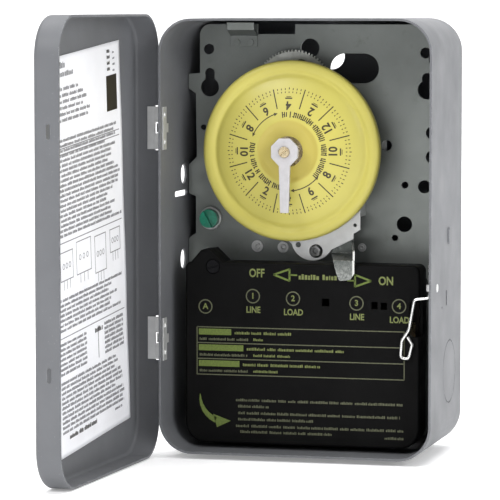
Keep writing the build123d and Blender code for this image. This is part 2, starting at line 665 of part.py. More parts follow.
# ---- trip bracket, manual lever and contacts ---------------------------------------------
LEVER_AT = (LEVER_PIVOT_X, LEVER_PIVOT_Z)
with BuildPart() as trip_bracket:
    with BuildSketch(front(BRACKET_Y)):
        with BuildLine():
            Polyline((-18.0, 20.0), (-18.0, 2.0), (-11.5, -2.6), (-9.1, -4.8))
            ThreePointArc((-9.1, -4.8), (1.7, -12.0), (9.0, -7.1))
            Polyline((9.0, -7.1), (19.3, -2.0), (19.3, 0.3), (22.4, 2.2), (22.4, 20.0), (-18.0, 20.0))
        make_face()
        for x, z, radius in (
            (2.05, -7.8, 3.1), (20.0, 4.2, 0.8), (-6.1, -5.0, 1.2), (*BRACKET_SCREW_AT, 1.6),
            (*LEVER_AT, 1.5),
        ):
            with Locations((x, z)):
                Circle(radius, mode=Mode.SUBTRACT)
    extrude(amount=BRACKET_THICK)
    # two feet that stand the bracket off the mechanism plate
    with BuildSketch(front(PLATE_FRONT)):
        with Locations((-17.4, 12.0), (21.8, 12.0)):
            Rectangle(1.2, 8.0)
    extrude(amount=PLATE_FRONT - BRACKET_Y)
save(trip_bracket.part, "trip_bracket")

with BuildPart() as bracket_screw:
    with BuildSketch(front(PLATE_BACK)):
        with Locations(BRACKET_SCREW_AT):
            Circle(1.6)
    extrude(amount=PLATE_BACK - BRACKET_Y + BRACKET_THICK)
    with BuildSketch(front(BRACKET_Y - BRACKET_THICK)):
        with Locations(BRACKET_SCREW_AT):
            Circle(2.8)
    extrude(amount=1.2, taper=15)
save(bracket_screw.part, "bracket_screw")

with BuildPart() as hex_stud:
    with BuildSketch(front(PLATE_BACK)):
        with Locations(HEX_STUD_AT):
            Circle(1.5)
    extrude(amount=PLATE)
    with BuildSketch(front(PLATE_FRONT)):
        with Locations(HEX_STUD_AT):
            RegularPolygon(2.7, 6, rotation=15)
    extrude(amount=6.4)
    with BuildSketch(front(PLATE_FRONT - 6.4)):
        with Locations(HEX_STUD_AT):
            Circle(1.2)
    extrude(amount=-3.0, mode=Mode.SUBTRACT)
save(hex_stud.part, "hex_stud")

# pivot pin between plate and bracket, with a shoulder that carries the lever
with BuildPart() as lever_pivot:
    with BuildSketch(front(PLATE_FRONT)):
        with Locations(LEVER_AT):
            Circle(2.6)
    extrude(amount=PLATE_FRONT - LEVER_Y - 0.2)
    with BuildSketch(front(LEVER_Y + 0.2)):
        with Locations(LEVER_AT):
            Circle(1.5)
    extrude(amount=LEVER_Y + 0.2 - BRACKET_Y + BRACKET_THICK)
    with BuildSketch(front(BRACKET_Y - BRACKET_THICK)):
        with Locations(LEVER_AT):
            Circle(2.8)
    extrude(amount=0.8)
save(lever_pivot.part, "lever_pivot")

# manual lever: a flat blade behind the bracket, an arm that leans forward over the cover with a
# web along its right edge, and a turned-down finger tip
ARM_BACK_Y = LEVER_Y - 0.6
LEVER_TIP_Y = COVER_FRONT - 2.6
ARM_FRONT_Y = LEVER_TIP_Y + 1.0
ARM_SECTIONS = (
    ((13.7, -9.0, 10.2, 1.2), (19.8, -10.6, 9.6, 1.2)),
    ((18.3, -6.3, 1.0, 6.6), (24.1, -8.6, 1.0, 5.2)),
)                               # centre x, centre z, width and height at the back and the front
with BuildPart() as manual_lever:
    with BuildSketch(front(LEVER_Y)):
        with Locations(LEVER_AT):
            Circle(3.4)
        with BuildLine():
            Polyline((9.0, 15.4), (15.3, 16.0), (18.8, -2.0), (18.8, -9.6), (8.6, -9.6), close=True)
        make_face()
        with Locations(LEVER_AT):
            Circle(1.5 + RUNNING, mode=Mode.SUBTRACT)
    extrude(amount=LEVER_THICK)
    for back, tip in ARM_SECTIONS:
        for y, (x, z, width, height) in ((ARM_BACK_Y, back), (ARM_FRONT_Y, tip)):
            with BuildSketch(front(y)):
                with Locations((x, z)):
                    Rectangle(width, height)
        loft()
    with BuildSketch(front(LEVER_TIP_Y + LEVER_THICK)):
        with BuildLine():
            Polyline(
                (15.0, -10.0), (24.6, -10.0), (24.6, -15.6), (22.6, -18.6), (17.8, -19.0),
                (16.4, -15.5), close=True,
            )
        make_face()
        fillet(vertices().group_by(Axis.Y)[0], radius=0.8)
    extrude(amount=LEVER_THICK)
save(manual_lever.part, "manual_lever")

# over-centre spring behind the blade, held by a post on the plate
SPRING_Y, SPRING_Z = LEVER_Y + 2.4, 10.0
SPRING_FROM, SPRING_TO = -8.4, 8.6
with BuildPart() as toggle_spring:
    with BuildLine():
        toggle = Helix(
            pitch=1.0, height=SPRING_TO - SPRING_FROM, radius=1.1,
            center=(SPRING_FROM, SPRING_Y, SPRING_Z), direction=(1, 0, 0),
        )
    with BuildSketch(Plane(origin=toggle @ 0, z_dir=toggle % 0)):
        Circle(0.25)
    sweep(is_frenet=True)
save(toggle_spring.part, "toggle_spring")
save(rod(front(PLATE_FRONT), [(SPRING_FROM - 1.8, SPRING_Z)], 0.9, 7.0), "spring_post")

# ---- terminal block ------------------------------------------------------------------
BAR_Y, BAR_Z = BLOCK_FRONT + 4.6, -26.6
BAR_XS = (-14.0, 36.0)
BAR_PIN_FROM, BAR_PIN_LENGTH = -20.0, 62.0
BLADE_XS = (-3.8, 25.1)
with BuildPart() as terminal_block:
    with BuildSketch(front(PLATE_FRONT)):
        with Locations((0, (BLOCK_TOP + BLOCK_BOTTOM) / 2)):
            Rectangle(101.0, BLOCK_TOP - BLOCK_BOTTOM)
    extrude(amount=PLATE_FRONT - BLOCK_FRONT)
    # a pocket for each terminal, open at the bottom for its wires
    with BuildSketch(front(BLOCK_FRONT)):
        with Locations(*[(x, -50.0) for x in TERMINAL_XS]):
            Rectangle(9.0, 25.0)
    extrude(amount=-8.0, mode=Mode.SUBTRACT)
    # the trough in which the contact bar rocks, its pin's holes, and room for the blades
    with BuildSketch(front(BLOCK_FRONT)):
        with Locations((11.0, -27.0)):
            Rectangle(58.0, 9.0)
    extrude(amount=-9.0, mode=Mode.SUBTRACT)
    with BuildSketch(front(BLOCK_FRONT)):
        with Locations(*[(x, -34.0) for x in BLADE_XS]):
            Rectangle(7.0, 14.0)
    extrude(amount=-8.0, mode=Mode.SUBTRACT)
    with BuildSketch(side(BAR_PIN_FROM)):
        with Locations((BAR_Y, BAR_Z)):
            Circle(0.8)
    extrude(amount=BAR_PIN_LENGTH, mode=Mode.SUBTRACT)
    with BuildSketch(front(PLATE_FRONT)):
        with Locations(*LEAD_HOLES):
            Circle(LEAD_RADIUS + 0.5)
    extrude(amount=PLATE_FRONT - BLOCK_FRONT, mode=Mode.SUBTRACT)
save(terminal_block.part, "terminal_block")

TERMINAL_Y = BLOCK_FRONT + 8.0
with BuildPart() as terminals:
    with BuildSketch(front(TERMINAL_Y)):
        with Locations(*[(x, -48.0) for x in TERMINAL_XS]):
            Rectangle(8.0, 18.0)
            Circle(1.9, mode=Mode.SUBTRACT)
    extrude(amount=1.2)
save(terminals.part, "terminal_plates")

with BuildPart() as terminal_screws:
    with BuildSketch(front(TERMINAL_Y)):
        with Locations(*[(x, -48.0) for x in TERMINAL_XS]):
            Circle(1.9)
    extrude(amount=3.0)
    with BuildSketch(front(TERMINAL_Y - 3.0)):
        with Locations(*[(x, -48.0) for x in TERMINAL_XS]):
            Circle(3.8)
    extrude(amount=2.2)
    with BuildSketch(front(TERMINAL_Y - 5.2)):
        with Locations(*[(x, -48.0) for x in TERMINAL_XS]):
            Rectangle(7.6, 1.0, rotation=20)
    extrude(amount=-1.0, mode=Mode.SUBTRACT)
save(terminal_screws.part, "terminal_screws")

# contact bar: an insulating bar that rocks about two pins and carries the moving blades
with BuildPart() as contact_bar:
    with BuildSketch(side(BAR_XS[0])):
        with Locations((BAR_Y, BAR_Z)):
            Rectangle(4.0, 4.0)
            Circle(0.8 + RUNNING, mode=Mode.SUBTRACT)
    extrude(amount=BAR_XS[1] - BAR_XS[0])
save(contact_bar.part, "contact_bar")
bar_pin = rod(side(BAR_PIN_FROM), [(BAR_Y, BAR_Z)], 0.8, BAR_PIN_LENGTH)
save(bar_pin, "contact_bar_pin")

with BuildPart() as moving_contacts:
    for x in BLADE_XS:
        with BuildSketch(front(BAR_Y - 2.0)):
            with Locations((x, BAR_Z - 5.2)):
                Rectangle(5.0, 13.0)
        extrude(amount=0.4)
        with BuildSketch(front(BAR_Y - 2.0)):
            with Locations((x, BAR_Z - 10.2)):
                Circle(1.8)
        extrude(amount=-0.9)
save(moving_contacts.part, "moving_contacts")

with BuildPart() as fixed_contacts:
    for x in BLADE_XS:
        with BuildSketch(front(TERMINAL_Y)):
            with Locations((x, BAR_Z - 10.2)):
                Rectangle(5.0, 4.4)
        extrude(amount=0.6)
        with BuildSketch(front(TERMINAL_Y - 0.6)):
            with Locations((x, BAR_Z - 10.2)):
                Circle(1.8)
        extrude(amount=TERMINAL_Y - 0.6 - (BAR_Y - 2.0 + 0.9) - 0.1)
save(fixed_contacts.part, "fixed_contacts")

# ---- moulded insulating cover ------------------------------------------------------------
HUMP_X, HUMP_TOP = -43.8, -6.2
with BuildPart() as insulator_cover:
    with BuildSketch(front(COVER_BACK)):
        with Locations((0, (COVER_TOP + COVER_BOTTOM) / 2)):
            Rectangle(2 * COVER_HALF, COVER_TOP - COVER_BOTTOM)
        fillet(vertices().group_by(Axis.Y)[0], radius=9.0)
        fillet(vertices().group_by(Axis.Y)[-1], radius=3.0)
        with BuildLine():
            Polyline(
                (-COVER_HALF, COVER_TOP - 4.0), (-COVER_HALF + 0.6, COVER_TOP - 2.4),
                (HUMP_X - 2.6, HUMP_TOP - 0.6), (HUMP_X + 1.8, HUMP_TOP), (-36.0, COVER_TOP),
                (-36.0, COVER_TOP - 4.0), close=True,
            )
        make_face()
    extrude(amount=COVER_BACK - COVER_FRONT)
    fillet(insulator_cover.faces().sort_by(Axis.Y)[0].edges(), radius=1.2)
    offset(amount=-COVER_WALL, openings=insulator_cover.faces().sort_by(Axis.Y)[-1])
    # bottom open for the field wires, step in the right edge, and two sight windows
    with BuildSketch(front(COVER_BACK)):
        with Locations((0, COVER_BOTTOM)):
            Rectangle(84.0, 8.0)
    extrude(amount=COVER_BACK - COVER_FRONT - 4.0, mode=Mode.SUBTRACT)
    with BuildSketch(front(COVER_FRONT + 8.0)):
        with Locations((COVER_HALF, -35.8)):
            RectangleRounded(9.2, 15.4, 0.8)
        with Locations((11.0, -29.0)):
            Rectangle(3.4, 3.4)
        with Locations((33.2, -29.8), (37.4, -30.0)):
            Rectangle(2.8, 3.2)
    extrude(amount=9.0, mode=Mode.SUBTRACT)
    with BuildSketch(front(COVER_FRONT)):
        with Locations((-40.6, -14.0)):
            Circle(3.3)
    extrude(amount=-0.6, mode=Mode.SUBTRACT)
save(insulator_cover.part, "insulator_cover")

with BuildPart() as cover_screw:
    with BuildSketch(front(COVER_FRONT + 0.6)):
        with Locations((-40.6, -14.0)):
            Circle(2.9)
    extrude(amount=0.9)
    with BuildSketch(front(COVER_FRONT - 0.3)):
        with Locations((-40.6, -14.0)):
            Rectangle(5.2, 0.9, rotation=15)
    extrude(amount=-0.5, mode=Mode.SUBTRACT)
save(cover_screw.part, "cover_screw")

# ---- wire latch beside the cover -----------------------------------------------------------
with BuildPart() as wire_latch:
    with BuildLine():
        FilletPolyline(
            (LATCH_X, LATCH_Y, -9.9), (LATCH_X, LATCH_Y, -25.8), (51.6, LATCH_Y, -26.6),
            (49.1, LATCH_Y, -40.1), (45.9, LATCH_Y, -45.0), (45.4, LATCH_Y, -52.6),
            (49.0, LATCH_Y, -52.9), (50.6, LATCH_Y, -46.4), (48.6, LATCH_Y, -43.2),
            radius=(1.6, 1.6, 3.0, 3.0, 1.5, 1.5, 1.2),
        )
    with BuildSketch(Plane((LATCH_X, LATCH_Y, -9.9), x_dir=(1, 0, 0), z_dir=(0, 0, -1))):
        Circle(WIRE_RADIUS)
    sweep()
save(wire_latch.part, "wire_latch")

# eyelet clip riveted through the case wall, in which the latch turns
with BuildPart() as latch_clip:
    with BuildSketch(Plane.XY.offset(WALL_HOLE_Z - 1.4)):
        with Locations((LATCH_X, LATCH_Y)):
            Circle(WIRE_RADIUS + 0.9)
        with Locations(((LATCH_X + HALF_INNER) / 2, LATCH_Y)):
            Rectangle(HALF_INNER - LATCH_X, 2.0)
        with Locations((LATCH_X, LATCH_Y)):
            Circle(WIRE_RADIUS + RUNNING, mode=Mode.SUBTRACT)
    extrude(amount=2.8)
    with BuildSketch(side(HALF_INNER)):
        with Locations((LATCH_Y, WALL_HOLE_Z)):
            Circle(1.6)
    extrude(amount=SHEET)
    with BuildSketch(side(HALF_INNER + SHEET)):
        with Locations((LATCH_Y, WALL_HOLE_Z)):
            Circle(1.9)
    extrude(amount=0.3, taper=30)
save(latch_clip.part, "latch_clip")
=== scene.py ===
import json
import math
import random

import bmesh
import bpy
from mathutils import Matrix, Vector


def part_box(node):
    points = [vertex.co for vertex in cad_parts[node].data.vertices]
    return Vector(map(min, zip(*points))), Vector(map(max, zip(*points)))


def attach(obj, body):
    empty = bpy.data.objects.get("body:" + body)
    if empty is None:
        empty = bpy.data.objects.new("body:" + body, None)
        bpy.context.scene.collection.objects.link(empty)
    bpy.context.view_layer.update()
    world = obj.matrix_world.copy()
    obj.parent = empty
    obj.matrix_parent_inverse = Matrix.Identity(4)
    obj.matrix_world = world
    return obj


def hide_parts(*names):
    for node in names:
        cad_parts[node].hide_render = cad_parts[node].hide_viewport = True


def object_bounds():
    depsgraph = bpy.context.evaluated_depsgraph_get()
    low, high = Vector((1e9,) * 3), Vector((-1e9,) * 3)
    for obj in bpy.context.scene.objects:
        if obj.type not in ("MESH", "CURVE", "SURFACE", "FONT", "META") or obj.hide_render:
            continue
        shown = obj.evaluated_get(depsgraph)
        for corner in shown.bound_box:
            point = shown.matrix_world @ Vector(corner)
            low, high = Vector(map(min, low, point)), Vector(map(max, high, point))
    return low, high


# Looks of a mechanical time switch in a wall case: materials, printed dial, cover and label, and
# softened metal edges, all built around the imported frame. Metres, in the frame's own axes.

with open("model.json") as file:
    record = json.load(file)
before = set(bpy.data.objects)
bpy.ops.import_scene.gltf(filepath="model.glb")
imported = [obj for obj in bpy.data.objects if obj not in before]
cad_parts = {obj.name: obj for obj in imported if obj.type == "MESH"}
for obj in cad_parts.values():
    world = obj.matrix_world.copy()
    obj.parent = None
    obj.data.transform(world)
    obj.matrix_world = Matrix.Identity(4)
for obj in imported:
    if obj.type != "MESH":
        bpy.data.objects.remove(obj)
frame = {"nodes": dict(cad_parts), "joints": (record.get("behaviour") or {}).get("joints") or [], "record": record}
cad_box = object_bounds()

MM = 0.001
NODES = frame["nodes"]
JOINTS = {joint["name"]: joint for joint in frame["joints"]}
SLOT_OF = {part["node"]: part["material_slot"] for part in frame["record"]["subparts"]}
BODY_OF = {
    node: body
    for body, members in frame["record"]["behaviour"]["bodies"].items()
    for node in members
}
rng = random.Random(24)


# ---- material building blocks -----------------------------------------------------------
class Surface:
    """A Principled material with a few procedural layers, in object coordinates (metres)."""

    def __init__(self, name, color, roughness, metallic=0.0, **sockets):
        self.material = bpy.data.materials.new(name)
        self.material.use_nodes = True
        self.tree = self.material.node_tree
        self.bsdf = self.tree.nodes["Principled BSDF"]
        self.color = color
        self.set("Base Color", (*color, 1.0))
        self.set("Roughness", roughness)
        self.set("Metallic", metallic)
        for socket, value in sockets.items():
            self.set(socket.replace("_", " "), value)
        self.coordinates = self.add("ShaderNodeTexCoord").outputs["Object"]

    def set(self, socket, value):
        self.bsdf.inputs[socket].default_value = value

    def add(self, kind, **settings):
        node = self.tree.nodes.new(kind)
        for key, value in settings.items():
            setattr(node, key, value)
        return node

    def link(self, source, target):
        self.tree.links.new(source, target)

    def mapped(self, stretch=(1, 1, 1)):
        if stretch == (1, 1, 1):
            return self.coordinates
        mapping = self.add("ShaderNodeMapping")
        mapping.inputs["Scale"].default_value = stretch
        self.link(self.coordinates, mapping.inputs["Vector"])
        return mapping.outputs["Vector"]

    def noise(self, size, detail=4.0, roughness=0.55, stretch=(1, 1, 1)):
        """Noise whose features are about size metres across."""
        node = self.add("ShaderNodeTexNoise")
        node.inputs["Scale"].default_value = 1.0 / size
        node.inputs["Detail"].default_value = detail
        node.inputs["Roughness"].default_value = roughness
        self.link(self.mapped(stretch), node.inputs["Vector"])
        return node.outputs["Fac"]

    def ramp(self, value, low, high, start=0.0, end=1.0):
        """Value remapped from low..high to start..end, clamped."""
        node = self.add("ShaderNodeMapRange")
        node.inputs["From Min"].default_value = low
        node.inputs["From Max"].default_value = high
        node.inputs["To Min"].default_value = start
        node.inputs["To Max"].default_value = end
        self.link(value, node.inputs["Value"])
        return node.outputs["Result"]

    def mix(self, factor, first, second):
        """Colour mix; first and second are colours or sockets."""
        node = self.add("ShaderNodeMix", data_type="RGBA")
        self.link(factor, node.inputs["Factor"])
        for socket, value in ((node.inputs[6], first), (node.inputs[7], second)):
            if isinstance(value, bpy.types.NodeSocket):
                self.link(value, socket)
            else:
                socket.default_value = (*value, 1.0)
        return node.outputs[2]

    def multiply(self, first, second):
        node = self.add("ShaderNodeMath", operation="MULTIPLY")
        self.link(first, node.inputs[0])
        self.link(second, node.inputs[1])
        return node.outputs[0]

    def vary_color(self, size, low_share, high_share, detail=4.0, stretch=(1, 1, 1)):
        """Base colour wanders between two shares of itself."""
        dark = tuple(c * low_share for c in self.color)
        light = tuple(min(1.0, c * high_share) for c in self.color)
        spread = self.ramp(self.noise(size, detail, stretch=stretch), 0.35, 0.65)
        result = self.mix(spread, dark, light)
        self.paint(result)
        return result

    def paint(self, color_socket):
        self.link(color_socket, self.bsdf.inputs["Base Color"])

    def vary_roughness(self, size, low, high, detail=3.0, stretch=(1, 1, 1)):
        spread = self.ramp(self.noise(size, detail, stretch=stretch), 0.3, 0.7, low, high)
        self.link(spread, self.bsdf.inputs["Roughness"])

    def bump(self, size, depth, detail=3.0, stretch=(1, 1, 1), edge=0.0):
        """Fine relief of the given depth; edge rounds sharp edges by that radius."""
        node = self.add("ShaderNodeBump")
        node.inputs["Strength"].default_value = 1.0
        node.inputs["Distance"].default_value = depth
        self.link(self.noise(size, detail, stretch=stretch), node.inputs["Height"])
        if edge:
            rounding = self.add("ShaderNodeBevel", samples=4)
            rounding.inputs["Radius"].default_value = edge
            self.link(rounding.outputs["Normal"], node.inputs["Normal"])
        self.link(node.outputs["Normal"], self.bsdf.inputs["Normal"])

    def worn_edges(self, base, bare, radius, size):
        """Mask of convex edges, broken up by noise, mixes the bare colour into base."""
        rounding = self.add("ShaderNodeBevel", samples=4)
        rounding.inputs["Radius"].default_value = radius
        geometry = self.add("ShaderNodeNewGeometry")
        dot = self.add("ShaderNodeVectorMath", operation="DOT_PRODUCT")
        self.link(rounding.outputs["Normal"], dot.inputs[0])
        self.link(geometry.outputs["Normal"], dot.inputs[1])
        edge = self.ramp(dot.outputs["Value"], 0.97, 0.80)
        patches = self.ramp(self.noise(size, 5.0), 0.48, 0.62)
        result = self.mix(self.multiply(edge, patches), base, bare)
        self.paint(result)
        return result


# ---- materials --------------------------------------------------------------------------
def grey_enamel():
    s = Surface("enclosure_paint", (0.135, 0.139, 0.148), 0.46, Specular_IOR_Level=0.22)
    mottled = s.vary_color(45 * MM, 0.92, 1.08)
    specks = s.ramp(s.noise(0.7 * MM, 2.0), 0.70, 0.76)
    dusty = s.mix(specks, mottled, (0.21, 0.215, 0.23))
    s.worn_edges(dusty, (0.30, 0.305, 0.32), 0.5 * MM, 3.0 * MM)
    s.vary_roughness(20 * MM, 0.42, 0.54)
    s.bump(1.1 * MM, 0.012 * MM, detail=2.0, edge=0.3 * MM)
    return s.material


def zinc():
    s = Surface("zinc_plate", (0.60, 0.605, 0.60), 0.36, 0.45)
    s.vary_color(4.0 * MM, 0.94, 1.04, detail=4.0)
    s.vary_roughness(3.0 * MM, 0.32, 0.44)
    s.bump(0.8 * MM, 0.004 * MM, edge=0.2 * MM)
    return s.material


def satin_plate():
    s = Surface("satin_plate", (0.205, 0.220, 0.210), 0.46, 0.6)
    clouds = s.vary_color(28 * MM, 0.90, 1.08, detail=5.0)
    stains = s.ramp(s.noise(9 * MM, 6.0, 0.7), 0.60, 0.72)
    s.paint(s.mix(stains, clouds, (0.18, 0.195, 0.182)))
    s.vary_roughness(6 * MM, 0.36, 0.50)
    s.bump(0.35 * MM, 0.008 * MM, stretch=(1, 1, 0.12), edge=0.25 * MM)
    return s.material


def spring_steel():
    s = Surface("spring_steel", (0.80, 0.80, 0.78), 0.22, 1.0)
    s.vary_color(1.2 * MM, 0.82, 1.05, stretch=(1, 1, 0.3))
    s.vary_roughness(0.8 * MM, 0.16, 0.34)
    s.bump(0.25 * MM, 0.008 * MM, stretch=(1, 1, 0.15))
    return s.material


def lever_steel():
    """Dark oiled steel, with a painted highlight along the right edge and painted light on the front-facing finger
    tip.
    """
    s = Surface("lever_steel", (0.10, 0.110, 0.103), 0.36, 0.8)
    low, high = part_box("manual_lever")
    height = s.add("ShaderNodeSeparateXYZ")
    s.link(s.coordinates, height.inputs[0])
    # painted highlight: a bright strip is painted along the lever's right edge
    painted_edge_highlight = s.ramp(height.outputs["X"], high.x - 1.1 * MM, high.x - 0.6 * MM)
    # painted light: the front-facing lower tip is painted lighter, mottled by noise, while the upper part stays
    # dark
    painted_tip_light = s.ramp(height.outputs["Z"], low.z + 9.5 * MM, low.z + 3.5 * MM)
    tip_light_mottle = s.ramp(s.noise(1.6 * MM, 5.0, 0.7), 0.42, 0.60, 0.25, 1.0)
    dull = s.vary_color(2.5 * MM, 0.85, 1.10)
    mottled = s.mix(s.multiply(painted_tip_light, tip_light_mottle), dull, (0.30, 0.31, 0.295))
    # mixes the painted edge highlight over the steel
    bright = s.mix(painted_edge_highlight, mottled, (0.72, 0.73, 0.70))
    s.worn_edges(bright, (0.85, 0.85, 0.82), 0.35 * MM, 2.0 * MM)
    s.vary_roughness(1.2 * MM, 0.24, 0.42)
    s.bump(0.6 * MM, 0.02 * MM, edge=0.25 * MM)
    return s.material


def yellow_enamel():
    s = Surface("yellow_enamel", (0.535, 0.480, 0.110), 0.38, Specular_IOR_Level=0.35)
    low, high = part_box("dial")
    centre = (low + high) / 2
    offset = s.add("ShaderNodeVectorMath", operation="SUBTRACT")
    s.link(s.coordinates, offset.inputs[0])
    offset.inputs[1].default_value = (centre.x, low.y, centre.z)
    flat = s.add("ShaderNodeVectorMath", operation="MULTIPLY")
    s.link(offset.outputs[0], flat.inputs[0])
    flat.inputs[1].default_value = (1, 0, 1)
    radius = s.add("ShaderNodeVectorMath", operation="LENGTH")
    s.link(flat.outputs[0], radius.inputs[0])
    body = s.vary_color(30 * MM, 0.95, 1.04)
    # painted shade: the recessed middle disc, inside about 14 mm radius, is mixed towards a darker gold
    painted_recess_shade = s.ramp(radius.outputs["Value"], 14.4 * MM, 13.6 * MM, 0.0, 0.55)
    s.paint(s.mix(painted_recess_shade, body, (0.47, 0.36, 0.075)))
    s.vary_roughness(12 * MM, 0.30, 0.42)
    s.bump(1.4 * MM, 0.010 * MM, detail=2.0)
    return s.material


def pointer_plastic():
    s = Surface("pointer_plastic", (0.50, 0.488, 0.500), 0.42, Subsurface_Weight=0.15)
    s.bsdf.inputs["Subsurface Radius"].default_value = (0.002, 0.0016, 0.0018)
    s.vary_color(3 * MM, 0.94, 1.04)
    s.vary_roughness(2 * MM, 0.34, 0.48)
    s.bump(0.6 * MM, 0.02 * MM, edge=0.3 * MM)
    return s.material


def green_screw():
    s = Surface("green_paint", (0.004, 0.26, 0.155), 0.30, Coat_Weight=0.3)
    base = s.vary_color(1.5 * MM, 0.80, 1.15)
    s.worn_edges(base, (0.10, 0.42, 0.30), 0.3 * MM, 1.2 * MM)
    s.bump(0.6 * MM, 0.02 * MM, edge=0.3 * MM)
    return s.material


def brass():
    s = Surface("brass", (0.66, 0.55, 0.36), 0.30, 1.0)
    s.vary_color(0.9 * MM, 0.70, 1.10)
    s.vary_roughness(0.8 * MM, 0.22, 0.42)
    s.bump(0.3 * MM, 0.01 * MM, edge=0.2 * MM)
    return s.material


def moulded_black(name, color, roughness):
    s = Surface(name, color, roughness, Specular_IOR_Level=0.05)
    s.vary_color(18 * MM, 0.85, 1.15)
    s.vary_roughness(5 * MM, roughness - 0.06, roughness + 0.08)
    s.bump(0.45 * MM, 0.020 * MM, detail=2.0, edge=0.4 * MM)
    return s.material


def motor_steel():
    s = Surface("motor_steel", (0.50, 0.51, 0.52), 0.36, 1.0)
    s.vary_color(6 * MM, 0.88, 1.06)
    s.vary_roughness(4 * MM, 0.28, 0.46)
    s.bump(0.4 * MM, 0.01 * MM, stretch=(1, 0.1, 1), edge=0.3 * MM)
    return s.material


def copper_tape():
    s = Surface("copper_winding", (0.42, 0.17, 0.07), 0.40)
    s.vary_color(1.2 * MM, 0.75, 1.15)
    s.bump(0.3 * MM, 0.05 * MM, stretch=(0.2, 1, 0.2))
    return s.material


def gear_metal():
    s = Surface("gear_nylon", (0.48, 0.49, 0.46), 0.40, 0.8)
    s.vary_color(3 * MM, 0.86, 1.08)
    s.vary_roughness(2 * MM, 0.32, 0.48)
    s.bump(0.4 * MM, 0.01 * MM, edge=0.15 * MM)
    return s.material


def lead_rubber():
    s = Surface("lead_insulation", (0.03, 0.03, 0.032), 0.55)
    s.vary_color(3 * MM, 0.8, 1.2)
    s.bump(0.5 * MM, 0.02 * MM)
    return s.material


def label_paper():
    s = Surface("label_paper", (0.86, 0.865, 0.90), 0.55)
    s.vary_color(25 * MM, 0.96, 1.03)
    s.vary_roughness(6 * MM, 0.42, 0.55)
    s.bump(0.4 * MM, 0.006 * MM, detail=5.0)
    return s.material


def ink(name, color, fade=0.75):
    """Printed ink, thin and a little uneven."""
    s = Surface(name, color, 0.5)
    s.vary_color(0.8 * MM, fade, 1.12)
    s.bump(0.3 * MM, 0.004 * MM)
    return s.material


FINISH = {
    "enclosure_paint": grey_enamel(),
    "zinc_plate": zinc(),
    "satin_plate": satin_plate(),
    "spring_steel": spring_steel(),
    "green_paint": green_screw(),
    "yellow_enamel": yellow_enamel(),
    "pointer_plastic": pointer_plastic(),
    "brass": brass(),
    "motor_steel": motor_steel(),
    "copper_winding": copper_tape(),
    "gear_nylon": gear_metal(),
    "lead_insulation": lead_rubber(),
    "insulator_plastic": moulded_black("insulator_plastic", (0.0045, 0.0045, 0.0045), 0.52),
    "phenolic": moulded_black("phenolic", (0.028, 0.024, 0.022), 0.35),
    "screw_black": moulded_black("screw_black", (0.008, 0.008, 0.009), 0.45),
    "label_paper": label_paper(),
}
LEVER_STEEL = lever_steel()
DIAL_INK = ink("dial_ink", (0.045, 0.035, 0.012))
DIAL_INK_FAINT = ink("dial_ink_faint", (0.10, 0.083, 0.020))
COVER_INK = ink("cover_ink", (0.145, 0.170, 0.045))
COVER_INK_BRIGHT = ink("cover_ink_bright", (0.105, 0.150, 0.018))
COVER_INK_DIM = ink("cover_ink_dim", (0.085, 0.090, 0.045))
LABEL_INK = ink("label_ink", (0.22, 0.22, 0.235))
LABEL_BLACK = ink("label_black", (0.020, 0.016, 0.010), fade=0.9)

for node, obj in NODES.items():
    obj.data.materials.clear()
    obj.data.materials.append(FINISH[SLOT_OF[node]])
NODES["manual_lever"].data.materials[0] = LEVER_STEEL


# ---- mesh building blocks ---------------------------------------------------------------
def add_piece(name, mesh, material, body):
    piece = bpy.data.objects.new(name, mesh)
    bpy.context.scene.collection.objects.link(piece)
    mesh.materials.clear()
    mesh.materials.append(material)
    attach(piece, body)
    return piece


def softened(node, width, material=None, segments=2):
    """The node's own shape with its sharp edges rounded, in place of the CAD node."""
    mesh = NODES[node].data.copy()
    bm = bmesh.new()
    bm.from_mesh(mesh)
    bmesh.ops.remove_doubles(bm, verts=bm.verts, dist=1e-6)
    bmesh.ops.dissolve_limit(
        bm, angle_limit=math.radians(1.0), verts=bm.verts, edges=bm.edges
    )
    for face in bm.faces:
        face.smooth = True
    bm.to_mesh(mesh)
    bm.free()
    slot = SLOT_OF[node]
    piece = add_piece(f"{node}_shaped", mesh, material or FINISH[slot], BODY_OF[node])
    bevel = piece.modifiers.new("rounded_edges", "BEVEL")
    bevel.width = width
    bevel.segments = segments
    bevel.limit_method = "ANGLE"
    bevel.angle_limit = math.radians(40)
    bevel.use_clamp_overlap = True
    normals = piece.modifiers.new("even_shading", "WEIGHTED_NORMAL")
    normals.keep_sharp = True
    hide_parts(node)
    return piece


